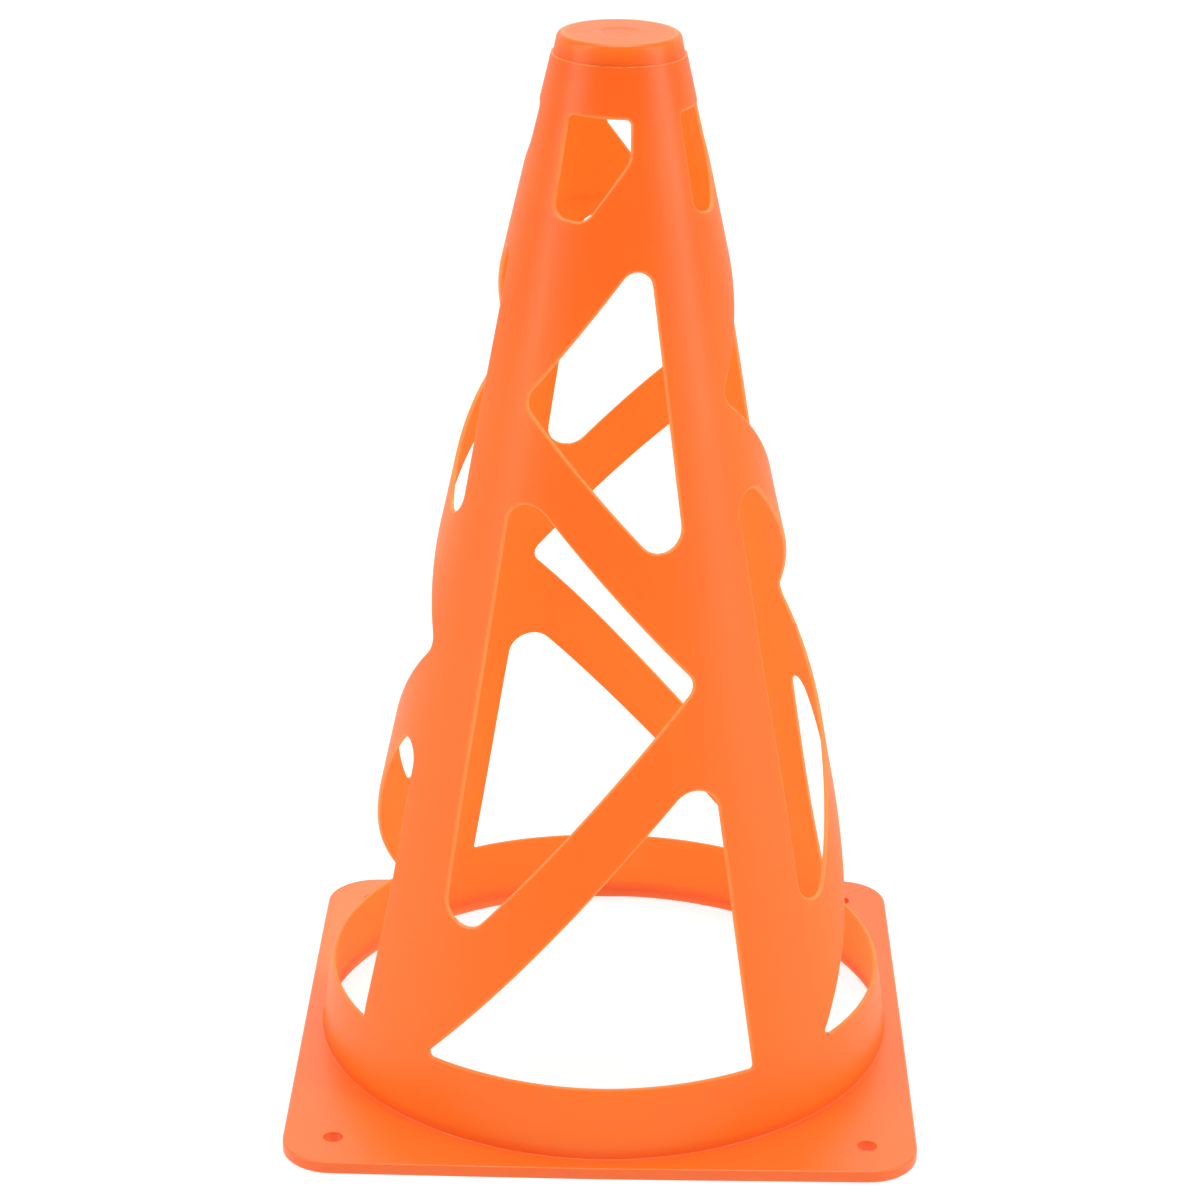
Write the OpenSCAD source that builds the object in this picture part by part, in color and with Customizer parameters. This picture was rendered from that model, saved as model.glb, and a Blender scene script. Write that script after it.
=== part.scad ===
// Windproof sports marker cone: one soft plastic moulding with a square base plate,
// an unbroken foot ring, a conical wall opened by windows, and a flat-topped nose.
// The wall is drawn in its natural zones: four corner legs, three struts on each
// side that zigzag from leg to leg, and the collar that closes them above.
// Millimetres, +Z up, origin at the centre of the underside.

/* [Overall size] */
// Height from the floor to the flat top
cone_h = 230; // [180:1:300]
// Side of the square base plate
base_side = 136; // [110:1:170]
// Thickness of the conical wall, measured level
wall_t = 1.2; // [0.8:0.1:2]

/* [Base plate] */
// Thickness of the base plate
base_t = 2.6; // [1.8:0.1:4]
// Radius of the plate's corners in plan
base_corner_r = 11; // [6:0.5:16]
// Rounding of the plate's upper edge
base_edge_r = 0.5; // [0.3:0.1:0.9]
// Diameter of the peg holes in the corners
peg_hole_d = 4.2; // [3:0.1:6]
// Distance of each peg hole from the two sides beside it
peg_inset = 10.8; // [7:0.1:14]

/* [Foot ring] */
// Height of the unbroken ring above the plate
ring_h = 15.6; // [10:0.1:20]
// Width of plate left outside the ring at the middle of a side
ledge_w = 3.8; // [2.5:0.1:8]
// How far the ring leans in from its foot to its rim
ring_lean_w = 2.7; // [1:0.1:4]
// Fillet between the ring and the plate
foot_fillet_r = 0.8; // [0.4:0.1:1.6]

/* [Wall] */
// How far the wall is drawn in from a straight cone at the top of its lower struts
waist_depth = 0.7; // [0:0.1:2]
// Largest corner radius of the windows
window_r = 5; // [3:0.5:6]

/* [Nose] */
// Outside diameter of the flat top, before its edge is rounded
top_d = 26; // [20:0.5:32]
// Height of the plain cap above the parting line
cap_h = 4.7; // [3:0.1:7]
// Step inwards from the collar to the cap at the parting line
cap_step_w = 0.4; // [0.2:0.1:0.9]
// Thickness of the flat top
top_t = 1.4; // [1:0.1:2.4]
// Rounding of the top edge
top_edge_r = 0.9; // [0.5:0.1:1.4]
// Diameter of the shallow round moulding mark in the middle of the top
mark_d = 8; // [4:0.5:12]
// Depth of the moulding mark
mark_depth = 0.2; // [0.1:0.05:0.4]

/* [Hidden] */

plastic = [1, 0.45, 0.18];
$fn = 96;
overrun = 1;

// Sides in order round the cone, each a quarter turn on from the front, which faces -Y
FRONT = 0;
RIGHT = 1;
BACK = 2;
LEFT = 3;
quarter = 90;

// Heights that part the struts from each other and from the collar, as shares of the lattice
lower_top_share = 0.392;
middle_top_share = 0.657;
upper_top_share = 0.81;

// Wall profile: outside radius against height
rim_z = base_t + ring_h;
seam_z = cone_h - cap_h;
lattice_h = cone_h - rim_z;
waist_z = rim_z + lower_top_share * lattice_h;
foot_r = base_side / 2 - ledge_w;
rim_r = foot_r - ring_lean_w;
top_r = top_d / 2;
waist_r = rim_r + (top_r - rim_r) * lower_top_share - waist_depth;
sole_r = foot_r + ring_lean_w * base_t / ring_h;
wall_profile = [[0, sole_r], [base_t, foot_r], [rim_z, rim_r], [waist_z, waist_r], [cone_h, top_r]];
wall_slope = (rim_r - top_r) / lattice_h;

// Angles, from the middle of a side, between which its struts run from leg to leg
strut_start = -36;
strut_end = 18;

// Window corners, anticlockwise as seen from outside. Each has its place across as a share
// of the wall's radius there, its height as a share of the lattice above the rim, and its
// radius as a share of window_r. The lower window runs out below the rim, where nothing is cut.
small_window_shares = [
    [-0.636, 0.937, 0.2], [-0.636, 0.842, 0.3], [-0.283, 0.835, 0.8],
    [0.157, 0.896, 0.9], [0.172, 0.934, 0.24]
];
upper_window_shares = [[0.313, 0.815, 0.68], [-0.65, 0.659, 0.7], [0.448, 0.481, 0.92]];
middle_window_shares = [[-0.636, 0.588, 0.98], [-0.643, 0.098, 0.85], [0.453, 0.392, 0.6]];
lower_window_shares = [[0.483, 0.32, 1], [-0.681, -0.02, 0.1], [0.538, -0.02, 0.1]];

// Fineness of the window outlines
arc_steps = 6;
facet_length_share = 0.022;
facet_length = facet_length_share * cone_h;
// The cutters reach this share beyond the wall's radius, to clear its bulge
cutter_reach_share = 0.4;

function wall_r(z) = lookup(z, wall_profile);

function unit(v) = v / norm(v);

// A corner's place in the elevation of one side: across and up
function corner_place(corner) =
    let (z = rim_z + corner[1] * lattice_h)
    [corner[0] * wall_r(z), z];

// Arc that rounds corner p between its neighbours before and after
function corner_arc(p, before, after, r) =
    let (
        u = unit(before - p),
        v = unit(after - p),
        half = acos(u * v) / 2,
        centre = p + unit(u + v) * r / sin(half),
        first = p + u * r / tan(half) - centre,
        start = atan2(first.y, first.x)
    )
    [for (i = [0:arc_steps])
        let (a = start + (180 - 2 * half) * i / arc_steps)
        centre + r * [cos(a), sin(a)]];

// Points that part the straight edge from p to q, without its ends
function edge_points(p, q) =
    let (steps = ceil(norm(q - p) / facet_length))
    [for (i = [1:1:steps - 1]) p + (q - p) * i / steps];

// Closed outline of a window in the elevation: rounded corners joined by straight edges
function window_outline(shares) =
    let (
        count = len(shares),
        places = [for (corner = shares) corner_place(corner)],
        arcs = [for (i = [0:count - 1]) corner_arc(
            places[i], places[(i + count - 1) % count], places[(i + 1) % count],
            shares[i][2] * window_r)]
    )
    [for (i = [0:count - 1]) each concat(
        arcs[i], edge_points(arcs[i][arc_steps], arcs[(i + 1) % count][0]))];

// Point reached by going out from elevation point p, square to the wall
function out_from_wall(p, distance) =
    let (
        level = distance / sqrt(1 + wall_slope * wall_slope),
        r = wall_r(p.y) + level,
        a = asin(p.x / wall_r(p.y)) - quarter
    )
    [r * cos(a), r * sin(a), p.y + level * wall_slope];

// Solid that cuts one window through the front of the wall, with faces square to it
module window_cutter(shares) {
    outline = window_outline(shares);
    count = len(outline);
    inside = [for (p = outline) out_from_wall(p, -wall_t - overrun)];
    outside = [for (p = outline) out_from_wall(p, wall_r(p.y) * cutter_reach_share)];
    polyhedron(
        points = concat(inside, outside),
        faces = concat(
            [for (i = [1:count - 2]) [0, i, i + 1]],
            [for (i = [1:count - 2]) [count, count + i + 1, count + i]],
            [for (i = [0:count - 1]) [i, count + i, (i + 1) % count]],
            [for (i = [0:count - 1]) [count + i, count + (i + 1) % count, (i + 1) % count]]
        )
    );
}

// Chosen windows of one side of the wall
module side_windows(side, windows) {
    rotate([0, 0, side * quarter])
        for (shares = windows)
            window_cutter(shares);
}

// Section of the wall between two heights
function wall_section(z_from, z_to) =
    let (heights = [z_from, for (z = [rim_z, waist_z]) if (z > z_from && z < z_to) z, z_to])
    concat(
        [for (z = heights) [wall_r(z), z]],
        [for (i = [len(heights) - 1:-1:0]) [wall_r(heights[i]) - wall_t, heights[i]]]
    );

// Piece of the plain wall between two angles, measured from the middle of a side
module wall_sector(side, angle_from, angle_to, z_from, z_to) {
    rotate([0, 0, side * quarter + angle_from - quarter])
        rotate_extrude(angle = angle_to - angle_from)
            polygon(wall_section(z_from, z_to));
}

// Leg at the corner where a side begins, shared with the side before it
module leg(side) {
    windows = [upper_window_shares, middle_window_shares, lower_window_shares];
    color(plastic)
        difference() {
            wall_sector(side, strut_end - quarter, strut_start, rim_z,
                rim_z + upper_top_share * lattice_h);
            side_windows(side, windows);
            side_windows(side - 1, windows);
        }
}

// Strut of one side, shaped by the windows that it parts, between two heights given
// as shares of the lattice
module strut(side, share_from, share_to, windows) {
    color(plastic)
        difference() {
            wall_sector(side, strut_start, strut_end,
                rim_z + share_from * lattice_h, rim_z + share_to * lattice_h);
            side_windows(side, windows);
        }
}

module lower_strut(side) {
    strut(side, 0, lower_top_share, [middle_window_shares, lower_window_shares]);
}

module middle_strut(side) {
    strut(side, lower_top_share, middle_top_share, [upper_window_shares, middle_window_shares]);
}

module upper_strut(side) {
    strut(side, middle_top_share, upper_top_share, [upper_window_shares]);
}

// Section of the plate's rim, w wide: square below, with its upper edge rounded
module plate_edge_section(w) {
    square([w, base_t - base_edge_r]);
    square([w - base_edge_r, base_t]);
    translate([w - base_edge_r, base_t - base_edge_r])
        circle(base_edge_r);
}

// Square slab with rounded corners and a rounded upper edge
module plate_blank() {
    inner = base_side - 2 * base_corner_r;
    translate([-inner / 2, -inner / 2, 0])
        cube([inner, inner, base_t]);
    for (side = [FRONT:LEFT])
        rotate([0, 0, side * quarter]) {
            translate([-inner / 2, inner / 2, 0])
                rotate([quarter, 0, quarter])
                    linear_extrude(inner)
                        plate_edge_section(base_corner_r);
            translate([inner / 2, inner / 2, 0])
                rotate_extrude(angle = quarter)
                    plate_edge_section(base_corner_r);
        }
}

// Base plate: open under the cone, with a peg hole in each corner
module base_plate() {
    peg = base_side / 2 - peg_inset;
    color(plastic)
        difference() {
            plate_blank();
            rotate_extrude()
                polygon([
                    [0, -overrun], [sole_r - wall_t, -overrun], [sole_r - wall_t, 0],
                    [foot_r - wall_t, base_t], [foot_r - wall_t, base_t + overrun],
                    [0, base_t + overrun]
                ]);
            for (x = [-peg, peg], y = [-peg, peg])
                translate([x, y, -overrun])
                    cylinder(d = peg_hole_d, h = base_t + 2 * overrun);
        }
}

// Foot ring: the unbroken band of wall below the windows, with its fillet to the plate
module foot_ring() {
    lean = ring_lean_w / ring_h;
    fillet = [for (i = [0:arc_steps])
        let (a = quarter * i / arc_steps)
        [foot_r + foot_fillet_r * (1 - sin(a)) - lean * foot_fillet_r * (1 - cos(a)),
            base_t + foot_fillet_r * (1 - cos(a))]];
    color(plastic)
        rotate_extrude()
            polygon(concat(fillet, [
                [rim_r, rim_z], [rim_r - wall_t, rim_z], [foot_r - wall_t, base_t]
            ]));
}

// Collar: the wall above the struts, closed round its four small windows
module nose_collar() {
    color(plastic)
        difference() {
            rotate_extrude()
                polygon(wall_section(rim_z + upper_top_share * lattice_h, seam_z));
            for (side = [FRONT:LEFT])
                side_windows(side, [small_window_shares]);
        }
}

// Cap: the plain closed end above the parting line, a step smaller than the collar
module nose_cap() {
    seam_r = wall_r(seam_z) - cap_step_w;
    inner_r = seam_r - wall_t;
    edge = [for (i = [0:arc_steps])
        let (a = quarter * i / arc_steps)
        [top_r - top_edge_r * (1 - cos(a)), cone_h - top_edge_r * (1 - sin(a))]];
    color(plastic)
        difference() {
            rotate_extrude()
                polygon(concat([[seam_r, seam_z]], edge, [
                    [0, cone_h], [0, cone_h - top_t],
                    [top_r - wall_t, cone_h - top_t], [inner_r, seam_z]
                ]));
            translate([0, 0, cone_h - mark_depth])
                cylinder(d = mark_d, h = mark_depth + overrun);
        }
}

base_plate();
foot_ring();
leg(FRONT);  // leg_front_left
leg(RIGHT);  // leg_front_right
leg(BACK);  // leg_back_right
leg(LEFT);  // leg_back_left
lower_strut(FRONT);  // lower_strut_front
lower_strut(RIGHT);  // lower_strut_right
lower_strut(BACK);  // lower_strut_back
lower_strut(LEFT);  // lower_strut_left
middle_strut(FRONT);  // middle_strut_front
middle_strut(RIGHT);  // middle_strut_right
middle_strut(BACK);  // middle_strut_back
middle_strut(LEFT);  // middle_strut_left
upper_strut(FRONT);  // upper_strut_front
upper_strut(RIGHT);  // upper_strut_right
upper_strut(BACK);  // upper_strut_back
upper_strut(LEFT);  // upper_strut_left
nose_collar();
nose_cap();
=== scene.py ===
"""Looks of a windproof sports marker cone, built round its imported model.

The cone is one soft plastic moulding. Each of its zones gets a skin with rounded window
edges, and all the skins meet without a seam. Metres, +Z up, the photographed side faces -Y.
"""

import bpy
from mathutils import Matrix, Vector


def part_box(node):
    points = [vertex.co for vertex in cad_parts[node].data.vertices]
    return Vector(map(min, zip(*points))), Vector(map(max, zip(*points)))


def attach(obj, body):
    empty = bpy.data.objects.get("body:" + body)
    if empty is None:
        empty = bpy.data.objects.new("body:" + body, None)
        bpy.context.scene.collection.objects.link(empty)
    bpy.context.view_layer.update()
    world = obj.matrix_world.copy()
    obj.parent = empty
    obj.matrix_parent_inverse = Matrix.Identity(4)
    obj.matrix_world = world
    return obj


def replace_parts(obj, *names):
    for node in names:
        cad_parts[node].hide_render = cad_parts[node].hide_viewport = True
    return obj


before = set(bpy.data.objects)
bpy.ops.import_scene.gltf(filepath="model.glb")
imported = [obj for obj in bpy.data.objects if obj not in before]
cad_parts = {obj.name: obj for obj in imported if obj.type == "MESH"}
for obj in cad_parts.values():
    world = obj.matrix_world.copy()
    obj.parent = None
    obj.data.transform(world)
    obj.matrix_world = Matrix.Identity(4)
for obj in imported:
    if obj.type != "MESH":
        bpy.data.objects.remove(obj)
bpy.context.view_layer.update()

import copy
import math

import bpy
import numpy as np
from mathutils import Matrix, Vector
from mathutils.geometry import delaunay_2d_cdt

MM = 0.001
QUARTER = math.pi / 2
UP = np.array([0.0, 0.0, 1.0])

# Sides in order round the cone, each a quarter turn on, and the corner where each side begins
SIDES = ("front", "right", "back", "left")
CORNERS = ("front_left", "front_right", "back_right", "back_left")


def lowest(node):
    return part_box(node)[0]


def highest(node):
    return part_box(node)[1]


def exact(length):
    """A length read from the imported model, without the noise of its mesh."""
    return round(length, 5)


# Heights and radii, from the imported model. The photographed parting line lies a little higher.
SEAM_RISE = 0.5 * MM
PACKED_FILLET_R = 0.8 * MM
CONE_H = exact(highest("nose_cap").z)
SEAM_Z = exact(lowest("nose_cap").z) + SEAM_RISE
COLLAR_Z = exact(lowest("nose_collar").z)
MIDDLE_TOP_Z = exact(highest("middle_strut_front").z)
LOWER_TOP_Z = exact(highest("lower_strut_front").z)
RIM_Z = exact(highest("foot_ring").z)
BASE_T = exact(highest("base_plate").z)
HALF_BASE = exact(highest("base_plate").x)
FOOT_R = exact(highest("foot_ring").x) - PACKED_FILLET_R
LATTICE_H = CONE_H - RIM_Z

# The wall: the ring leans in up to its rim and runs softly into the wall above, which is waisted
# between rim and top, a little more in its lower half
WALL_T = 1.0 * MM
RING_LEAN = 2.2 * MM
RING_SLOPE = RING_LEAN / (RIM_Z - BASE_T)
RIM_R = FOOT_R - RING_LEAN
RIM_BLEND = 0.5 * MM
WAIST = 0.54 * MM
LOW_WAIST = 0.76 * MM
FOOT_FILLET_R = 0.3 * MM
WINDOW_R = 5 * MM
LIP_R = 0.58 * MM
INNER_LIP_R = 0.3 * MM

# The nose: the rounded ledge at the parting line, and the flat top with its moulding mark
SEAM_LIP_R = 0.22 * MM
CAP_STEP = 0.4 * MM
TOP_R = 13 * MM
TOP_T = 1.4 * MM
TOP_EDGE_R = 1.3 * MM
MARK_R = 4 * MM
MARK_RIDGE_R = 2.9 * MM
MARK_SOFT = 0.25 * MM
MARK_FALL = 0.3 * MARK_SOFT
MARK_DEPTH = 0.17 * MM
MARK_RIDGE = 0.7 * MARK_DEPTH
MARK_NIB = 0.6 * MARK_DEPTH

# The plate, its peg holes and its edge round the space under the cone
BASE_CORNER_R = 11 * MM
BASE_EDGE_R = 0.5 * MM
SOLE_EDGE_R = 0.25 * MM
BORE_SOLE_R = 0.8 * MM
PEG_INSET = 10.8 * MM
PEG_R = 2.1 * MM
PEG_LIP_R = 0.15 * MM
PEG_SOLE_R = 0.1 * MM

# Painted highlight: how much lighter each free edge is painted, window edges as 1, and how softly
# it fades
RIM_HIGHLIGHT_SHARE = 0.35
RIM_HIGHLIGHT_REACH = 3 * MM
BORE_HIGHLIGHT_SHARE = 0.3
PLATE_HIGHLIGHT_SHARE = 0.05
SEAM_HIGHLIGHT_SHARE = 0.5
TOP_HIGHLIGHT_SHARE = 0.7
TOP_HIGHLIGHT_WIDTH = 0.3 * MM
HIGHLIGHT_SOFTNESS = 0.4

# How the soft moulding has settled. Its four sides are a little flattened round one height. Its
# left (-1) and right (1) outlines are dented, each dent given as (side, height, reach, depth).
# The sharper the dents, the sooner they fade away from the outline.
DENT_SHARPNESS = 5
FLATTENING = 0.55 * MM
FLAT_Z = 68 * MM
FLAT_REACH = 28 * MM
DENTS = [(-1, 50 * MM, 18 * MM, 0.8 * MM), (-1, 85 * MM, 20 * MM, 0.2 * MM),
         (-1, 125 * MM, 20 * MM, 0.35 * MM), (1, 48 * MM, 20 * MM, 0.7 * MM),
         (1, 80 * MM, 10 * MM, -0.25 * MM), (1, 134 * MM, 16 * MM, 0.4 * MM)]

# The foot of the right front leg is pulled towards the front, round an angle and a height
PULL = 1.1 * MM
PULL_ANGLE = 51
PULL_REACH_ANGLE = 12
PULL_Z = 22 * MM
PULL_REACH = 20 * MM

# The rim stands higher at the legs than between them, and the right side is raised, less and
# less up to a height
RIM_SAG = 0.45 * MM
SAG_REACH = 12 * MM
RIGHT_LIFT = 0.6 * MM
LIFT_END_Z = 120 * MM

# The plate's corners by (side, front or back), each moved with what lies beyond a share of the
# way out to it
CORNER_SHIFTS = {(-1, -1): (0, 0, 0.3 * MM), (1, -1): (-0.35 * MM, 0, 0),
                 (1, 1): (0, 0, 0.5 * MM), (-1, 1): (0.2 * MM, -2.1 * MM, 0)}
CORNER_START = 0.35
CORNER_RUN = 0.6

# Specks of flash along the nose's parting line, each as (angle from the middle of the front in
# degrees, how far it stands out), and their width in degrees
SEAM_FLASH = [(-17, 0.4 * MM), (-13, 0.25 * MM), (-7, 0.42 * MM), (-2, 0.2 * MM), (5, 0.35 * MM),
              (17, 0.38 * MM), (96, 0.3 * MM), (171, 0.35 * MM), (188, 0.4 * MM), (263, 0.3 * MM)]
FLASH_WIDTH = 1.8

# Angles from the middle of a side, in degrees, between which its struts run
STRUT_START = -36
STRUT_END = 18
LEG_START = STRUT_END - 90

# Window corners, anticlockwise from outside: place across as a share of the wall's radius,
# height as a share of the lattice above the rim, and radius as a share of WINDOW_R
WINDOW_SHARES = {
    "small": [(-0.622, 0.933, 0.25), (-0.63, 0.838, 0.5), (-0.31, 0.834, 0.8),
              (0.157, 0.894, 0.9), (0.172, 0.9315, 0.24)],
    "upper": [(0.312, 0.8135, 0.68), (-0.642, 0.6585, 0.7), (0.445, 0.48, 0.92)],
    "middle": [(-0.627, 0.5895, 0.98), (-0.626, 0.097, 0.85), (0.45, 0.3915, 0.6)],
    "lower": [(0.483, 0.317, 1), (-0.619, 0, 0.18), (0.528, 0, 0.15)],
}

# Fineness of the meshes: steps in degrees and metres, counts, and how far apart two places or
# points may be and still be the same one
GRID_ANGLE = 1.5
GRID_STEP = 1.5 * MM
EDGE_STEP = 1.2 * MM
BORDER_CLEARANCE = 0.45 * EDGE_STEP
GRID_CLEARANCE = 1.4 * BORDER_CLEARANCE
CORNER_STEPS = 10
LIP_STEPS = 4
TOP_RINGS = 40
SAME = 1e-9
MERGE_STEP = 1e-7
TRIANGULATION_SLACK = 1e-7


def wall_radius(z):
    """Outside radius at height z: a leaning ring that runs softly into a slightly waisted wall."""
    ring = FOOT_R - RING_SLOPE * (z - BASE_T)
    share = (z - RIM_Z) / LATTICE_H
    waist = 4 * share * (1 - share) * (WAIST + LOW_WAIST * (1 - 2 * share))
    wall = RIM_R + (TOP_R - RIM_R) * share - waist
    blend = np.maximum(RIM_BLEND - np.abs(ring - wall), 0) / RIM_BLEND
    return np.minimum(ring, wall) - blend * blend * RIM_BLEND / 4


def wall_fall(z):
    """How fast the outside radius changes with height."""
    step = 0.1 * MM
    return (wall_radius(z + step) - wall_radius(z - step)) / (2 * step)


def column(values):
    return np.asarray(values)[:, None]


def bell(offset, reach):
    """One at no offset, falling off softly over the reach."""
    return np.exp(-(offset / reach) ** 2)


class Wall:
    """The conical wall. A place on it is (angle from the middle of the front, height)."""

    thickness = WALL_T / math.hypot(1, (RIM_R - TOP_R) / LATTICE_H)

    @staticmethod
    def highlight_share(place):
        """How much a free edge is painted lighter as a highlight: less along the ring's rim than
        round the windows.
        """
        return 1 - (1 - RIM_HIGHLIGHT_SHARE) * float(bell(place[1] - RIM_Z, RIM_HIGHLIGHT_REACH))

    @staticmethod
    def lie(places):
        """Point, outward normal, directions across and up, and metres per unit across and up."""
        angle, z = places.T
        r, fall = wall_radius(z), wall_fall(z)
        level = 1 / np.hypot(1, fall)
        turn = angle - QUARTER
        out = np.stack([np.cos(turn), np.sin(turn), 0 * turn], 1)
        across = np.stack([-np.sin(turn), np.cos(turn), 0 * turn], 1)
        normal = out * column(level) - UP * column(fall * level)
        along = out * column(fall * level) + UP * column(level)
        return out * column(r) + UP * column(z), normal, across, along, r, 1 / level

    @staticmethod
    def unrolled(places):
        """The places laid flat, near enough true to size, for triangulation."""
        angle, z = places.T
        return np.stack([(angle - angle.mean()) * wall_radius(z), z], 1)


class Plate:
    """The flat base plate. A place on it is (x, y)."""

    thickness = BASE_T

    @staticmethod
    def highlight_share(place):
        """How much a free edge is painted lighter as a highlight: more where light comes in under
        the cone.
        """
        return BORE_HIGHLIGHT_SHARE if math.hypot(*place) < FOOT_R else PLATE_HIGHLIGHT_SHARE

    @staticmethod
    def lie(places):
        """What Wall.lie gives, for the plate, whose places are in metres as they are."""
        count = len(places)
        one = np.ones(count)
        point = np.concatenate([places, np.full((count, 1), BASE_T)], 1)
        return (point, np.tile(UP, (count, 1)), np.tile([1.0, 0, 0], (count, 1)),
                np.tile([0, 1.0, 0], (count, 1)), one, one)

    @staticmethod
    def unrolled(places):
        return places


def lip_profile(thickness, top_r, sole_r):
    """Section of a rounded edge as (distance into the material, depth, turn of the normal)."""
    quarter_steps = np.linspace(0, QUARTER, LIP_STEPS + 1)
    top = [(top_r * (1 - math.sin(a)), top_r * (1 - math.cos(a)), a) for a in quarter_steps]
    sole = [(sole_r * (1 - math.cos(a)), thickness - sole_r * (1 - math.sin(a)), QUARTER + a)
            for a in quarter_steps]
    return top + sole


class Outline:
    """Closed edge of a sheet, with the material on the right of its direction of travel."""

    def __init__(self, surface, places, profile):
        self.profile = profile
        self.places = np.asarray(places, float)
        across_size, along_size = surface.lie(self.places)[4:]
        size = np.stack([across_size, along_size], 1)
        ahead = np.roll(self.places, -1, 0) - self.places
        travel = (ahead + np.roll(ahead, 1, 0)) * size
        travel /= column(np.hypot(*travel.T))
        self.side = np.stack([travel[:, 1], -travel[:, 0]], 1)
        self.per_metre = self.side / size

    def inset(self, distance):
        """Places at a distance into the material from the edge."""
        return self.places + self.per_metre * distance

    def border(self):
        """Places where the flat upper face ends and the rounding begins."""
        return self.inset(self.profile[0][0])

    def split(self, axis, value):
        """Adds a point wherever the border crosses a line of constant angle or height."""
        here = self.border()[:, axis] - value
        after = np.roll(here, -1)
        first = self.profile[0][0]
        for i in np.nonzero(here * after < 0)[0][::-1]:
            j = (i + 1) % len(self.places)
            share = here[i] / (here[i] - after[i])
            for name in ("places", "side", "per_metre"):
                rows = getattr(self, name)
                between = rows[i] * (1 - share) + rows[j] * share
                setattr(self, name, np.insert(rows, i + 1, between, 0))
            missed = value - self.border()[i + 1, axis]
            self.per_metre[i + 1, axis] += missed / first

    def turned(self, angle):
        """The same outline moved round the cone."""
        moved = copy.copy(self)
        moved.places = self.places + np.array([angle, 0.0])
        return moved


def unit(v):
    return v / np.linalg.norm(v)


def rounded_corner(p, before, after, r):
    """Points of the arc that rounds corner p between its neighbours."""
    u, v = unit(before - p), unit(after - p)
    half = math.acos(float(u @ v)) / 2
    centre = p + unit(u + v) * r / math.sin(half)
    first = p + u * r / math.tan(half) - centre
    start = math.atan2(first[1], first[0])
    turn = math.copysign(math.pi - 2 * half, u[1] * v[0] - u[0] * v[1])
    angles = start + turn * np.linspace(0, 1, CORNER_STEPS + 1)
    return centre + r * np.stack([np.cos(angles), np.sin(angles)], 1)


def rounded_polygon(corners, radii, step):
    """Closed outline through rounded corners, with its straight runs cut into short steps."""
    count = len(corners)
    arcs = [rounded_corner(corners[i], corners[i - 1], corners[(i + 1) % count], radii[i])
            for i in range(count)]
    points = []
    for i, arc in enumerate(arcs):
        start, end = arc[-1], arcs[(i + 1) % count][0]
        steps = max(1, math.ceil(np.linalg.norm(end - start) / step))
        run = start + (end - start) * column(np.linspace(0, 1, steps + 1)[1:-1])
        points += [arc, run]
    return np.concatenate(points)


def window_outline(shares):
    """A window of the front, set out straight-on in elevation and laid on the wall."""
    heights = [RIM_Z + up * LATTICE_H for _, up, _ in shares]
    corners = [np.array([across * wall_radius(z), z])
               for (across, _, _), z in zip(shares, heights)]
    radii = [share * WINDOW_R for _, _, share in shares]
    x, z = rounded_polygon(corners, radii, EDGE_STEP).T
    places = np.stack([np.arcsin(x / wall_radius(z)), z], 1)
    outline = Outline(Wall, places, lip_profile(Wall.thickness, LIP_R, INNER_LIP_R))
    for angle in (STRUT_START, STRUT_END):
        outline.split(0, math.radians(angle))
    for height in (RIM_Z, LOWER_TOP_Z, MIDDLE_TOP_Z, COLLAR_Z):
        outline.split(1, height)
    return outline


def inside(points, polygon):
    """Which points lie inside a closed polygon."""
    x, y = points.T
    found = np.zeros(len(points), bool)
    for (x0, y0), (x1, y1) in zip(polygon, np.roll(polygon, -1, 0)):
        if y0 != y1:
            crosses = (y0 > y) != (y1 > y)
            found ^= crosses & (x < x0 + (y - y0) * (x1 - x0) / (y1 - y0))
    return found


def clear_of(points, others, distance):
    """Which points lie further than a distance from all the others."""
    if not len(others) or not len(points):
        return np.ones(len(points), bool)
    across, along = (points[:, None, axis] - others[None, :, axis] for axis in (0, 1))
    return np.hypot(across, along).min(1) > distance


class Skin:
    """Faces of one piece, with a normal and a painted-highlight share for every corner.

    A face also says whether it is a join, hidden where the piece meets its neighbour.
    """

    def __init__(self):
        self.points, self.normals, self.edges = [], [], []
        self.faces, self.joins = [], []
        self.count = 0

    def add(self, points, normals, faces, edges=None, joins=0):
        self.points.append(np.asarray(points))
        self.normals.append(np.asarray(normals))
        self.edges.append(np.zeros(len(points)) if edges is None else np.asarray(edges))
        self.faces += [[i + self.count for i in face] for face in faces]
        self.joins += list(np.broadcast_to(joins, len(faces)))
        self.count += len(points)

    def add_join(self, points):
        """One flat face where the piece meets its neighbour, with its own normal."""
        points = np.asarray(points)
        ahead = np.roll(points, -1, 0)
        normal = unit(np.cross(points, ahead).sum(0))
        self.add(points, np.tile(normal, (len(points), 1)), [range(len(points))], joins=1)

    def add_run(self, profile, normals, angles, edge=0):
        """Strip of revolution, whose profile goes anticlockwise as (radius, height), and edge is
        its painted-highlight share.
        """
        profile, normals = np.asarray(profile), np.asarray(normals)
        turn = np.asarray(angles) - QUARTER
        out = np.stack([np.cos(turn), np.sin(turn), 0 * turn], 1)
        points = [out * r + UP * z for r, z in profile]
        directions = [out * level + UP * rise for level, rise in normals]
        width = len(angles)
        faces = []
        for i in range(len(profile) - 1):
            for j in range(width - 1):
                here, above = i * width + j, (i + 1) * width + j
                face = [here, here + 1, above + 1, above]
                if profile[i][0] == 0:
                    face = [here, above + 1, above]
                if profile[i + 1][0] == 0:
                    face = [here, here + 1, above + 1]
                faces.append(face)
        self.add(np.concatenate(points), np.concatenate(directions), faces,
                 np.repeat(np.broadcast_to(edge, len(profile)), width))

    def turned(self, angle):
        """A copy turned round the cone's axis."""
        spin = np.array(Matrix.Rotation(angle, 3, "Z"))
        skin = Skin()
        skin.add(np.concatenate(self.points) @ spin.T, np.concatenate(self.normals) @ spin.T,
                 self.faces, np.concatenate(self.edges), self.joins)
        return skin


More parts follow.
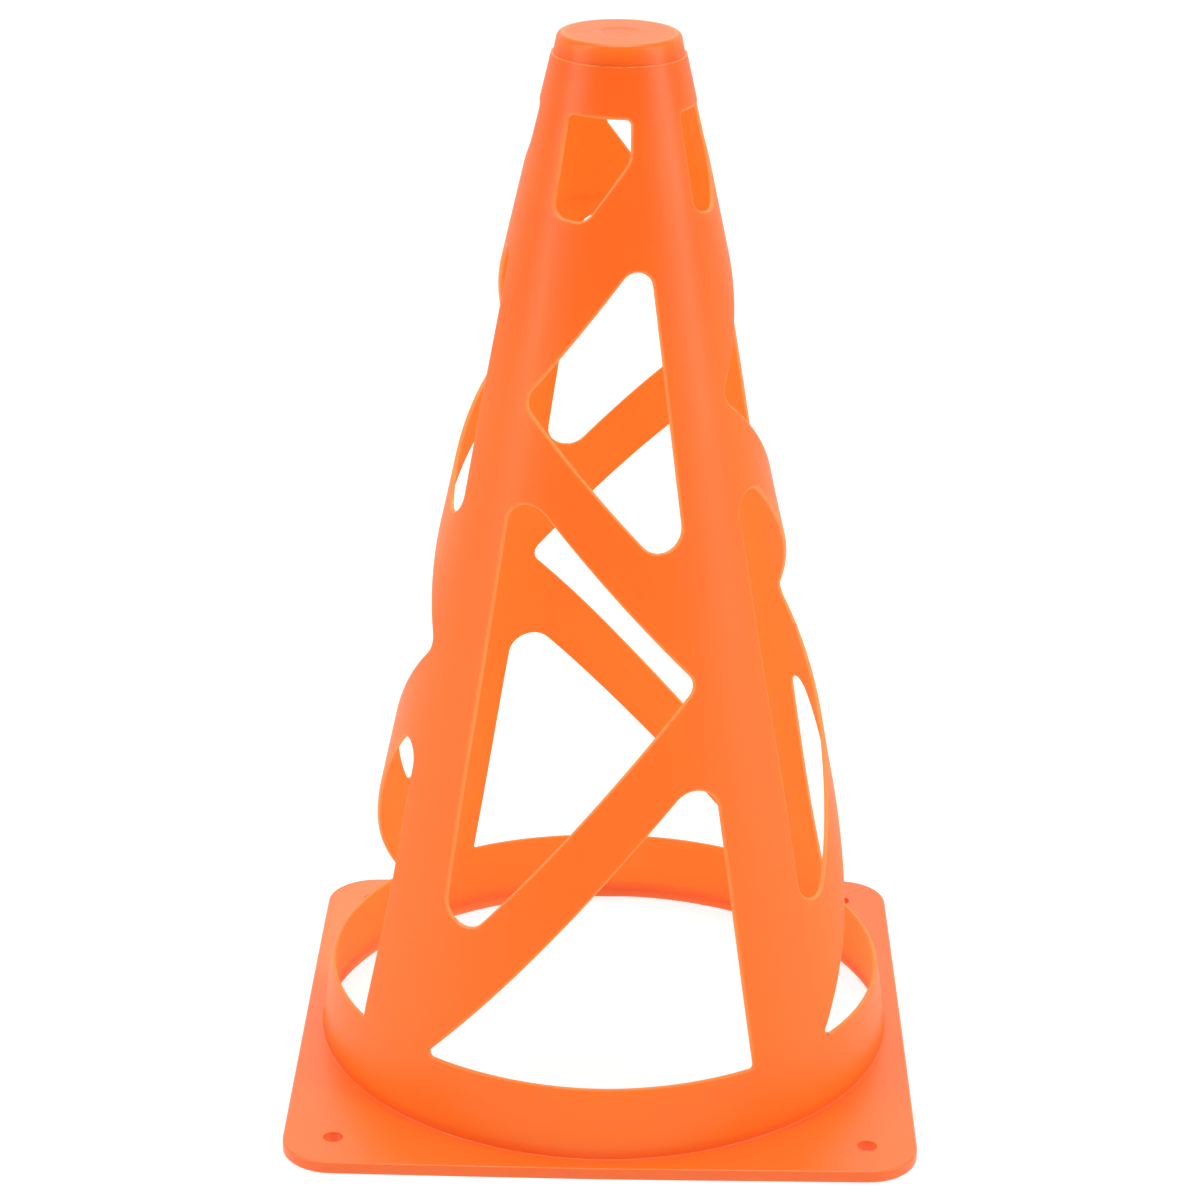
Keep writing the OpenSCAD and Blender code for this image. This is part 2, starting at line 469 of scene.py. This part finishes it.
def four_turns(part):
    """A ring of four copies of a quarter."""
    ring = Skin()
    for k in range(4):
        quarter = part.turned(k * QUARTER)
        ring.add(quarter.points[0], quarter.normals[0], quarter.faces, quarter.edges[0],
                 quarter.joins)
    return ring


def run_normals(profile):
    """Normals of a smooth profile that goes anticlockwise round its section."""
    profile = np.asarray(profile)
    travel = np.gradient(profile, axis=0)
    normals = np.stack([travel[:, 1], -travel[:, 0]], 1)
    return normals / column(np.hypot(*normals.T))


def free_of(points, holes):
    """Which points lie outside every hole. An outline that runs clockwise is an outer edge."""
    kept = np.ones(len(points), bool)
    for hole in holes:
        x, y = hole.T
        area = np.sum(x * np.roll(y, -1) - y * np.roll(x, -1))
        kept &= inside(points, hole) == (area < 0)
    return kept


def triangulated(flats, edges):
    """Anticlockwise triangles over places laid flat, in which the edges given are kept."""
    verts, _, faces, origin, _, _ = delaunay_2d_cdt(
        [Vector(p) for p in flats / GRID_STEP], edges, [], 0, TRIANGULATION_SLACK)
    if len(verts) != len(flats):
        raise ValueError(f"the triangulation made {len(verts)} points from {len(flats)}")
    triangles = np.array([[origin[i][0] for i in face] for face in faces])
    a, b, c = flats[triangles].transpose(1, 0, 2)
    u, v = b - a, c - a
    clockwise = u[:, 0] * v[:, 1] - u[:, 1] * v[:, 0] < 0
    triangles[clockwise] = triangles[clockwise][:, ::-1]
    return triangles


def lay_out(surface, outlines, border, grid):
    """Places and triangles of a sheet's upper face, and for each place on a free edge, which
    outline and which point of it that is."""
    lengths = [len(outline.places) for outline in outlines]
    starts = [sum(lengths[:k]) for k in range(len(lengths))]
    rims = np.concatenate([outline.border() for outline in outlines])
    flat = surface.unrolled(np.concatenate([rims, border, grid]))
    flat_rims, flat_border, flat_grid = np.split(flat, [len(rims), len(rims) + len(border)])
    holes = np.split(flat_rims, starts[1:])

    on_sheet = np.ones(len(rims), bool)
    if len(border):
        low, high = border.min(0) - SAME, border.max(0) + SAME
        on_sheet = ((rims >= low) & (rims <= high)).all(1)
    used = np.nonzero(on_sheet)[0]
    number = {int(rim): i for i, rim in enumerate(used)}
    owner, edges = {}, []
    for k, (start, length) in enumerate(zip(starts, lengths)):
        for i in range(length):
            here, ahead = start + i, start + (i + 1) % length
            if here in number:
                owner[number[here]] = (k, i)
                if ahead in number:
                    edges.append((number[here], number[ahead]))

    kept = free_of(flat_border, holes) & clear_of(flat_border, flat_rims, BORDER_CLEARANCE)
    places = np.concatenate([rims[used], border[kept]])
    flats = np.concatenate([flat_rims[used], flat_border[kept]])
    ends = [(axis, end(border[:, axis])) for axis in (0, 1) for end in (np.min, np.max)
            if len(border)]
    for axis, value in ends:
        on = np.nonzero(np.abs(places[:, axis] - value) < SAME)[0]
        on = on[np.argsort(places[on, 1 - axis])]
        clear = free_of((flats[on[:-1]] + flats[on[1:]]) / 2, holes)
        edges += [(int(a), int(b)) for a, b, free in zip(on[:-1], on[1:], clear) if free]

    kept = free_of(flat_grid, holes) & clear_of(flat_grid, flat_rims, GRID_CLEARANCE)
    places = np.concatenate([places, grid[kept]])
    flats = np.concatenate([flats, flat_grid[kept]])
    triangles = triangulated(flats, edges)
    middles = flats[triangles].mean(1)
    kept = free_of(middles, holes)
    if len(border):
        kept &= inside(middles, flat_border)
    return places, triangles[kept], owner


def edge_layers(surface, outline):
    """Rows of (points, normals) over a free edge, from the upper face to the lower."""
    layers = []
    for distance, depth, turn in outline.profile:
        point, normal, across, along = surface.lie(outline.inset(distance))[:4]
        side = across * outline.side[:, :1] + along * outline.side[:, 1:]
        layers.append((point - normal * depth, normal * math.cos(turn) - side * math.sin(turn)))
    return layers


def add_lip(skin, surface, outline, layers, ends):
    """The strip over a free edge between two neighbouring points of its outline."""
    # Each point's painted-highlight share, strongest where the rounding faces sideways
    edges = [surface.highlight_share(outline.places[end]) * abs(math.sin(turn)) ** HIGHLIGHT_SOFTNESS
             for _, _, turn in outline.profile for end in ends]
    skin.add([points[end] for points, _ in layers for end in ends],
             [normals[end] for _, normals in layers for end in ends],
             [[2 * s, 2 * s + 2, 2 * s + 3, 2 * s + 1] for s in range(len(layers) - 1)], edges)


def open_edges(triangles):
    """Edges that only one triangle has, in its direction."""
    edges = dict.fromkeys(edge for a, b, c in triangles.tolist()
                          for edge in ((a, b), (b, c), (c, a)))
    return [edge for edge in edges if edge[::-1] not in edges]


def sheet(surface, outlines, border, grid, open_lines=()):
    """A sheet of even thickness with rounded free edges.

    border is the closed chain of places where it meets its neighbours, or is empty. grid is the
    places between. Border edges along open_lines, given as (axis, value), are left open, for a
    run or another copy that closes them.
    """
    places, triangles, owner = lay_out(surface, outlines, border, grid)
    lowers = [outline.inset(outline.profile[-1][0]) for outline in outlines]
    lower_places = places.copy()
    for place, (k, i) in owner.items():
        lower_places[place] = lowers[k][i]

    skin = Skin()
    point, normal = surface.lie(places)[:2]
    skin.add(point, normal, triangles.tolist())
    lower_point, lower_normal = surface.lie(lower_places)[:2]
    lower_point = lower_point - lower_normal * surface.thickness
    skin.add(lower_point, -lower_normal, triangles[:, ::-1].tolist())

    layers = [edge_layers(surface, outline) for outline in outlines]
    for a, b in open_edges(triangles):
        (k, i), (m, j) = owner.get(a, (None, 0)), owner.get(b, (None, 0))
        if k is not None and k == m and abs(i - j) in (1, len(outlines[k].places) - 1):
            add_lip(skin, surface, outlines[k], layers[k], (i, j))
            continue
        middle = (places[a] + places[b]) / 2
        if any(abs(middle[axis] - value) < SAME for axis, value in open_lines):
            continue
        skin.add_join([point[a], lower_point[a], lower_point[b], point[b]])
        for end, way in ((a, 1), (b, -1)):
            if end in owner:
                k, i = owner[end]
                skin.add_join([points[i] for points, _ in layers[k]][::way])
    return skin


def row_heights():
    """Heights of the mesh rows, zone by zone, shared by all the zones that meet at a height."""
    marks = [BASE_T + FOOT_FILLET_R, RIM_Z, LOWER_TOP_Z, MIDDLE_TOP_Z, COLLAR_Z,
             SEAM_Z - SEAM_LIP_R]
    rows = [marks[0]]
    for low, high in zip(marks, marks[1:]):
        steps = math.ceil((high - low) / GRID_STEP)
        rows += list(np.linspace(low, high, steps + 1)[1:])
    return np.array(rows)


ROWS = row_heights()


def grid_angles(start, end):
    """Angles of the mesh columns between two angles in degrees."""
    return np.radians(np.arange(start, end + GRID_ANGLE / 2, GRID_ANGLE))


def wall_zone(start, end, low, high, windows, open_lines=()):
    """The part of the wall between two angles and two heights, less the windows."""
    angles = grid_angles(start, end)
    heights = ROWS[(ROWS > low - SAME) & (ROWS < high + SAME)]
    chain = ([(a, heights[0]) for a in angles[:-1]] + [(angles[-1], z) for z in heights[:-1]]
             + [(a, heights[-1]) for a in angles[:0:-1]] + [(angles[0], z) for z in heights[:0:-1]])
    grid = [(a, z) for z in heights[1:-1] for a in angles[1:-1]]
    return sheet(Wall, windows, np.array(chain), np.array(grid), open_lines)


# The two ends of a quarter of the wall, where the next quarter goes on
QUARTER_ENDS = [(0, math.radians(LEG_START)), (0, math.radians(STRUT_END))]


def inner_place(z):
    """Radius and height of the inside of the wall, square through it from outside height z."""
    point, normal = Wall.lie(np.array([[QUARTER, z]]))[:2]
    x, _, height = (point - normal * Wall.thickness)[0]
    return x, height


def foot_ring(windows):
    """The ring below the windows, with its fillet to the plate."""
    low = BASE_T + FOOT_FILLET_R
    part = wall_zone(LEG_START, STRUT_END, low, RIM_Z, windows, QUARTER_ENDS + [(1, low)])
    angles = grid_angles(LEG_START, STRUT_END)
    inner_r = FOOT_R - WALL_T
    for run in ([inner_place(low), (inner_r, BASE_T)],
                [(inner_r, BASE_T), (FOOT_R + FOOT_FILLET_R, BASE_T)]):
        part.add_run(run, run_normals(run), angles)
    fillet, normals = [], []
    for share in np.linspace(0, 1, 2 * LIP_STEPS + 1):
        a = QUARTER * share
        rise = FOOT_FILLET_R * (1 - math.cos(a))
        fillet.append((FOOT_R + FOOT_FILLET_R * (1 - math.sin(a)) - RING_SLOPE * rise,
                       BASE_T + rise))
        tilt = QUARTER + (math.atan(RING_SLOPE) - QUARTER) * share
        normals.append((math.cos(tilt), math.sin(tilt)))
    part.add_run(fillet, normals, angles)
    return four_turns(part)


def nose_collar(windows):
    """The closed band above the lattice, up to the small ledge at the parting line."""
    high = SEAM_Z - SEAM_LIP_R
    part = wall_zone(LEG_START, STRUT_END, COLLAR_Z, high, windows, QUARTER_ENDS + [(1, high)])
    angles = grid_angles(LEG_START, STRUT_END)
    outer_r = float(wall_radius(high))
    edge = [(outer_r - SEAM_LIP_R * (1 - math.cos(a)), high + SEAM_LIP_R * math.sin(a))
            for a in np.linspace(0, QUARTER, LIP_STEPS + 1)]
    # The ledge is painted lighter along its rounding, a painted highlight for the light it catches
    part.add_run(edge, run_normals(edge), angles, SEAM_HIGHLIGHT_SHARE)
    inner_r = float(wall_radius(SEAM_Z)) - WALL_T
    for run in ([edge[-1], (inner_r, SEAM_Z)], [(inner_r, SEAM_Z), inner_place(high)]):
        part.add_run(run, run_normals(run), angles)
    return four_turns(part)


def nose_cap():
    """The closed end above the parting line, with a shallow moulding mark on its flat top."""
    angles = np.radians(np.arange(0, 360 + GRID_ANGLE / 2, GRID_ANGLE))
    seam_r = float(wall_radius(SEAM_Z)) - CAP_STEP
    side = [(seam_r, SEAM_Z)]
    side += [(TOP_R - TOP_EDGE_R * (1 - math.cos(a)), CONE_H - TOP_EDGE_R * (1 - math.sin(a)))
             for a in np.linspace(0, QUARTER, 2 * LIP_STEPS + 1)]
    flat_r = TOP_R - TOP_EDGE_R
    flat = [(r, CONE_H + mark_height(r)) for r in np.linspace(flat_r, 0, TOP_RINGS)]
    outside = side + flat[1:]
    # A painted highlight: a pale line where the rounded side meets the flat top
    line = [TOP_HIGHLIGHT_SHARE * float(bell(r - flat_r, TOP_HIGHLIGHT_WIDTH)) * (z > SEAM_Z)
            for r, z in outside]
    skin = Skin()
    skin.add_run(outside, run_normals(outside), angles, line)
    inner_top = (TOP_R - WALL_T, CONE_H - TOP_T)
    inner_foot = (seam_r - WALL_T, SEAM_Z)
    for run in ([(0, CONE_H - TOP_T), inner_top], [inner_top, inner_foot],
                [inner_foot, (seam_r, SEAM_Z)]):
        skin.add_run(run, run_normals(run), angles)
    return skin


def mark_height(r):
    """Height of the flat top's moulding mark: a round recess with a ridge and a gate nib."""
    recess = MARK_DEPTH / (1 + math.exp((r - MARK_R) / MARK_FALL))
    ridge = MARK_RIDGE * float(bell(r - MARK_RIDGE_R, MARK_SOFT))
    nib = MARK_NIB * float(bell(r, 2 * MARK_SOFT))
    return ridge + nib - recess


def circle(x, y, r, step):
    """Points round a circle, anticlockwise."""
    count = 4 * math.ceil(QUARTER * r / step)
    angles = np.linspace(0, 2 * math.pi, count + 1)[:-1]
    return np.stack([x + r * np.cos(angles), y + r * np.sin(angles)], 1)


def base_plate():
    """Square plate with rounded corners and edges, open under the cone, with four peg holes."""
    corners = [HALF_BASE * np.array(c) for c in ((-1, -1), (-1, 1), (1, 1), (1, -1))]
    rim = rounded_polygon(corners, [BASE_CORNER_R] * 4, EDGE_STEP)
    outlines = [Outline(Plate, rim, lip_profile(BASE_T, BASE_EDGE_R, SOLE_EDGE_R))]
    bore = [(0, 0, QUARTER)]
    bore += [(RING_SLOPE * BASE_T + BORE_SOLE_R * (1 - math.cos(a)),
              BASE_T - BORE_SOLE_R * (1 - math.sin(a)), QUARTER + a)
             for a in np.linspace(0, QUARTER, LIP_STEPS + 1)]
    outlines.append(Outline(Plate, circle(0, 0, FOOT_R - WALL_T, EDGE_STEP), bore))
    place = HALF_BASE - PEG_INSET
    for x in (-place, place):
        for y in (-place, place):
            outlines.append(Outline(Plate, circle(x, y, PEG_R, EDGE_STEP / 3),
                                    lip_profile(BASE_T, PEG_LIP_R, PEG_SOLE_R)))
    line = np.arange(-HALF_BASE, HALF_BASE, GRID_STEP)
    grid = np.array([(x, y) for y in line for x in line])
    return sheet(Plate, outlines, np.empty((0, 2)), grid)


def degrees_from(place, angle):
    """How far an angle is from a place, given in degrees from the middle of the front."""
    return (np.degrees(angle) + 90 - place + 180) % 360 - 180


def settled(points):
    """The shape that the soft moulding has taken, with the flash on its parting line."""
    x, y, z = points.T
    r = np.maximum(np.hypot(x, y), MM)
    angle = np.arctan2(y, x)
    outward = np.stack([x, y, 0 * z], 1) / column(r)
    clockwise = np.stack([y, -x, 0 * z], 1) / column(r)
    on_wall = z > BASE_T
    lift = RIGHT_LIFT * np.clip(x / HALF_BASE, 0, 1) * np.clip(1 - z / LIFT_END_Z, 0, 1)
    sag = RIM_SAG * bell(z - RIM_Z, SAG_REACH) * (1 - np.cos(4 * angle)) / 2 * on_wall
    flat = FLATTENING * bell(z - FLAT_Z, FLAT_REACH) * np.cos(4 * angle) * on_wall
    pull = (PULL * bell(degrees_from(PULL_ANGLE, angle), PULL_REACH_ANGLE)
            * bell(z - PULL_Z, PULL_REACH) * (z > RIM_Z))
    moved = points + UP * column(lift + sag) - outward * column(flat) + clockwise * column(pull)
    for side, height, reach, depth in DENTS:
        facing = np.clip(side * x / r, 0, 1) ** DENT_SHARPNESS * on_wall
        moved[:, 0] -= side * depth * facing * bell(z - height, reach)
    for (across, deep), shift in CORNER_SHIFTS.items():
        way_out = (x * across + y * deep) / (2 * HALF_BASE)
        share = np.clip(way_out - CORNER_START, 0, 1) / CORNER_RUN
        moved += column(share * share * (z < 2 * BASE_T)) * shift
    on_seam = (np.abs(z - SEAM_Z) < MERGE_STEP) & (r > wall_radius(SEAM_Z) - CAP_STEP)
    for place, height in SEAM_FLASH:
        swell = height * bell(degrees_from(place, angle), FLASH_WIDTH) * on_seam
        moved += outward * column(swell)
    return moved


def make_piece(name, skin, material):
    """A mesh object from a skin, its points joined, its normals kept, riding on the cone."""
    points = np.concatenate(skin.points)
    normals = np.concatenate(skin.normals)
    edges = np.concatenate(skin.edges)
    _, first, merged = np.unique(np.round(points / MERGE_STEP).astype(np.int64), axis=0,
                                 return_index=True, return_inverse=True)
    merged = merged.ravel()
    faces = [[int(merged[i]) for i in face] for face in skin.faces]
    mesh = bpy.data.meshes.new(name)
    mesh.from_pydata(settled(points[first]).tolist(), [], faces)
    mesh.polygons.foreach_set("use_smooth", [True] * len(faces))
    # The edge attribute carries the painted highlight on the free edges, read by the material
    edge = mesh.attributes.new("edge", "FLOAT", "POINT")
    edge.data.foreach_set("value", edges[first].astype(np.float32))
    join = mesh.attributes.new("join", "FLOAT", "FACE")
    join.data.foreach_set("value", np.array(skin.joins, np.float32))
    mesh.normals_split_custom_set([normals[i] for face in skin.faces for i in face])
    mesh.update()
    piece = bpy.data.objects.new(name, mesh)
    bpy.context.scene.collection.objects.link(piece)
    mesh.materials.append(material)
    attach(piece, "root")
    return piece


def add_node(tree, kind, values=(), **settings):
    """A shader node with its settings, and its inputs set or linked by name or number."""
    made = tree.nodes.new("ShaderNode" + kind)
    for name, value in settings.items():
        setattr(made, name, value)
    for name, value in dict(values).items():
        if isinstance(value, bpy.types.NodeSocket):
            tree.links.new(value, made.inputs[name])
        else:
            made.inputs[name].default_value = value
    return made


# The plastic's linear colours, its roughness outside (smoothest, roughest) and inside, the share
# of light that comes through plate and wall, and its flow marks and its grain: how fine each is,
# and its bump as (strength, depth)
WHITE = (1, 1, 1, 1)
DEEP_ORANGE = (0.97, 0.127, 0.0105, 1)
LIGHT_ORANGE = (0.97, 0.146, 0.0135, 1)
# The painted highlight on the free edges: its colour, and how much of it is mixed in
LIP_HIGHLIGHT_COLOUR = (1, 0.42, 0.15, 1)
LIP_HIGHLIGHT_STRENGTH = 0.7
THROUGH_COLOUR = (1, 0.70, 0.18, 1)
SATIN = (0.33, 0.41)
MATT = 0.65
PLASTIC_IOR = 1.5
PLATE_THROUGH = 0.12
WALL_THROUGH = 0.42
FLOW_SCALE = (26, 26, 7)
FLOW_BUMP = (0.25, 2 * MM)
GRAIN_SCALE = 900
GRAIN_BUMP = (0.06, 0.4 * MM)


def soft_plastic():
    """Bright orange soft plastic: satin, a little cloudy, and letting some light through."""
    material = bpy.data.materials.new("soft_plastic")
    material.use_nodes = True
    tree = material.node_tree
    shader = tree.nodes["Principled BSDF"]
    place = add_node(tree, "TexCoord").outputs["Object"]
    along = add_node(tree, "Mapping", {"Vector": place, "Scale": FLOW_SCALE}).outputs[0]
    flow = add_node(tree, "TexNoise", {"Vector": along, "Scale": 1, "Detail": 3}).outputs[0]
    grain = add_node(tree, "TexNoise", {"Vector": place, "Scale": GRAIN_SCALE,
                                        "Detail": 2}).outputs[0]
    edge = add_node(tree, "Attribute", attribute_name="edge").outputs["Fac"]
    join = add_node(tree, "Attribute", attribute_name="join").outputs["Fac"]

    # Cloudy orange, with a painted highlight that makes the free edges paler
    cloudy = add_node(tree, "Mix", {0: flow, 6: DEEP_ORANGE, 7: LIGHT_ORANGE},
                      data_type="RGBA").outputs[2]
    painted_highlight = add_node(tree, "Math", {0: edge, 1: LIP_HIGHLIGHT_STRENGTH}, operation="MULTIPLY").outputs[0]
    colour = add_node(tree, "Mix", {0: painted_highlight, 6: cloudy, 7: LIP_HIGHLIGHT_COLOUR},
                      data_type="RGBA").outputs[2]
    tree.links.new(colour, shader.inputs["Base Color"])

    # Satin outside, matt on the faces that look towards the cone's axis. Level faces, whose
    # product is nought, stay satin.
    outward = add_node(tree, "VectorMath", {0: place, 1: (1, 1, 0)},
                       operation="MULTIPLY").outputs[0]
    facing = add_node(tree, "NewGeometry").outputs["Normal"]
    outside = add_node(tree, "VectorMath", {0: outward, 1: facing},
                       operation="DOT_PRODUCT").outputs["Value"]
    inside_face = add_node(tree, "Math", {0: outside, 1: -MM},
                           operation="LESS_THAN").outputs[0]
    satin = add_node(tree, "MapRange", {0: flow, 3: SATIN[0], 4: SATIN[1]}).outputs[0]
    rough = add_node(tree, "Mix", {0: inside_face, 2: satin, 3: MATT}).outputs[0]
    tree.links.new(rough, shader.inputs["Roughness"])
    shader.inputs["IOR"].default_value = PLASTIC_IOR

    # Fine grain, and slow flow marks along the wall
    grainy = add_node(tree, "Bump", {"Height": grain, "Strength": GRAIN_BUMP[0],
                                     "Distance": GRAIN_BUMP[1]}).outputs[0]
    wavy = add_node(tree, "Bump", {"Height": flow, "Strength": FLOW_BUMP[0],
                                   "Distance": FLOW_BUMP[1], "Normal": grainy}).outputs[0]
    tree.links.new(wavy, shader.inputs["Normal"])

    # Light comes through, more in the thin wall than in the plate. Where two pieces meet, their
    # faces inside the moulding hand all light on, so no line shows.
    tint = add_node(tree, "Mix", {0: join, 6: THROUGH_COLOUR, 7: WHITE},
                    data_type="RGBA").outputs[2]
    through = add_node(tree, "BsdfTranslucent", {"Color": tint}).outputs[0]
    height = add_node(tree, "SeparateXYZ", {0: place}).outputs[2]
    thin = add_node(tree, "MapRange", {0: height, 1: BASE_T, 2: 2 * BASE_T, 3: PLATE_THROUGH,
                                       4: WALL_THROUGH}).outputs[0]
    share = add_node(tree, "Math", {0: thin, 1: join}, operation="MAXIMUM").outputs[0]
    mixed = add_node(tree, "MixShader", {0: share, 1: shader.outputs[0], 2: through}).outputs[0]
    tree.links.new(mixed, tree.nodes["Material Output"].inputs["Surface"])
    return material


def with_side_before(*windows):
    """The windows of the front and the same ones of the side before it."""
    return [*windows, *(window.turned(-QUARTER) for window in windows)]


def make_cone():
    """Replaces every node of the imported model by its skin."""
    plastic = soft_plastic()
    window = {name: window_outline(shares) for name, shares in WINDOW_SHARES.items()}
    upper, middle, lower = window["upper"], window["middle"], window["lower"]
    zones = {
        "leg": wall_zone(LEG_START, STRUT_START, RIM_Z, COLLAR_Z,
                         with_side_before(upper, middle, lower)),
        "lower_strut": wall_zone(STRUT_START, STRUT_END, RIM_Z, LOWER_TOP_Z, [middle, lower]),
        "middle_strut": wall_zone(STRUT_START, STRUT_END, LOWER_TOP_Z, MIDDLE_TOP_Z,
                                  [upper, middle]),
        "upper_strut": wall_zone(STRUT_START, STRUT_END, MIDDLE_TOP_Z, COLLAR_Z, [upper]),
    }
    skins = {"base_plate": base_plate(),
             "foot_ring": foot_ring(with_side_before(lower)),
             "nose_collar": nose_collar(with_side_before(window["small"])),
             "nose_cap": nose_cap()}
    for kind, skin in zones.items():
        for k, place in enumerate(CORNERS if kind == "leg" else SIDES):
            skins[f"{kind}_{place}"] = skin.turned(k * QUARTER)
    for node, skin in skins.items():
        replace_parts(make_piece(node + "_skin", skin, plastic), node)


# Camera, from a fit to the photograph of 1200 pixels square. Angles in radians.
CAMERA_PLACE = (3.07 * MM, -691.1 * MM, 382.8 * MM)
CAMERA_PAN = -0.0077
CAMERA_TILT = 0.38268
CAMERA_ROLL = -0.0149
PHOTO_WIDTH = 1200
FOCAL_PIXELS = 3414.6
SENSOR_WIDTH = 36


def add_camera():
    """The camera at its fitted place, turned by pan, tilt and roll."""
    data = bpy.data.cameras.new("photo_camera")
    data.sensor_width = SENSOR_WIDTH
    data.lens = SENSOR_WIDTH * FOCAL_PIXELS / PHOTO_WIDTH
    ahead = Vector((math.sin(CAMERA_PAN) * math.cos(CAMERA_TILT),
                    math.cos(CAMERA_PAN) * math.cos(CAMERA_TILT), -math.sin(CAMERA_TILT)))
    level = Vector((math.cos(CAMERA_PAN), -math.sin(CAMERA_PAN), 0))
    down = ahead.cross(level)
    right = level * math.cos(CAMERA_ROLL) + down * math.sin(CAMERA_ROLL)
    down = down * math.cos(CAMERA_ROLL) - level * math.sin(CAMERA_ROLL)
    turn = Matrix((right, -down, -ahead)).transposed().to_4x4()
    camera = bpy.data.objects.new("photo_camera", data)
    camera.matrix_world = Matrix.Translation(CAMERA_PLACE) @ turn
    bpy.context.scene.collection.objects.link(camera)
    bpy.context.scene.camera = camera


# The floor, pale and glowing a little so that it meets the white surround
FLOOR_REACH = 12
FLOOR_COLOUR = (0.25, 0.25, 0.25, 1)
FLOOR_ROUGHNESS = 0.8
FLOOR_GLOW = 0.84


def add_floor():
    mesh = bpy.data.meshes.new("floor")
    corners = [(x * FLOOR_REACH, y * FLOOR_REACH, 0)
               for x, y in ((-1, -1), (1, -1), (1, 1), (-1, 1))]
    mesh.from_pydata(corners, [], [range(4)])
    floor = bpy.data.objects.new("floor", mesh)
    bpy.context.scene.collection.objects.link(floor)
    paint = bpy.data.materials.new("pale_floor")
    paint.use_nodes = True
    shader = paint.node_tree.nodes["Principled BSDF"]
    shader.inputs["Base Color"].default_value = FLOOR_COLOUR
    shader.inputs["Roughness"].default_value = FLOOR_ROUGHNESS
    shader.inputs["Emission Color"].default_value = WHITE
    shader.inputs["Emission Strength"].default_value = FLOOR_GLOW
    mesh.materials.append(paint)


# The surround's strength on the camera's side and behind the cone, with the share of the way to
# the back at which it is full, and the soft lights as (name, place, width, height, power)
FRONT_GLOW = 0.17
BACK_GLOW = 1.6
FULL_GLOW_AT = 0.9
LIGHTS = [("softbox_left", (-0.8, -0.45, 0.72), 0.12, 0.7, 3.936),
          ("low_softbox_left", (-0.87, -0.22, 0.35), 0.15, 0.5, 1.64),
          ("softbox_right", (0.8, -0.45, 0.72), 0.12, 0.7, 4.56),
          ("low_softbox_right", (0.87, -0.22, 0.35), 0.15, 0.5, 1.9),
          ("top_light", (0, 0.1, 1.3), 0.6, 0.6, 11.5)]


def add_light(name, place, width, height, power):
    """A rectangular soft light that faces the middle of the cone."""
    data = bpy.data.lights.new(name, "AREA")
    data.shape = "RECTANGLE"
    data.size, data.size_y = width, height
    data.energy = power
    light = bpy.data.objects.new(name, data)
    light.location = place
    aim = Vector((0, 0, CONE_H / 2)) - Vector(place)
    light.rotation_euler = aim.to_track_quat("-Z", "Y").to_euler()
    bpy.context.scene.collection.objects.link(light)


def add_surround():
    """White behind the cone, falling off to a pale grey on the camera's side."""
    world = bpy.data.worlds.new("studio")
    world.use_nodes = True
    tree = world.node_tree
    way = add_node(tree, "TexCoord").outputs["Generated"]
    back = add_node(tree, "SeparateXYZ", {0: way}).outputs[1]
    glow = add_node(tree, "MapRange",
                    {0: back, 1: 0, 2: FULL_GLOW_AT, 3: FRONT_GLOW, 4: BACK_GLOW},
                    interpolation_type="SMOOTHSTEP").outputs[0]
    tree.links.new(glow, tree.nodes["Background"].inputs["Strength"])
    tree.nodes["Background"].inputs["Color"].default_value = WHITE
    bpy.context.scene.world = world


def add_studio():
    """Surround and lights, with the colours shown as they are."""
    add_surround()
    for light in LIGHTS:
        add_light(*light)
    bpy.context.scene.view_settings.view_transform = "Standard"


make_cone()
add_camera()
add_floor()
add_studio()
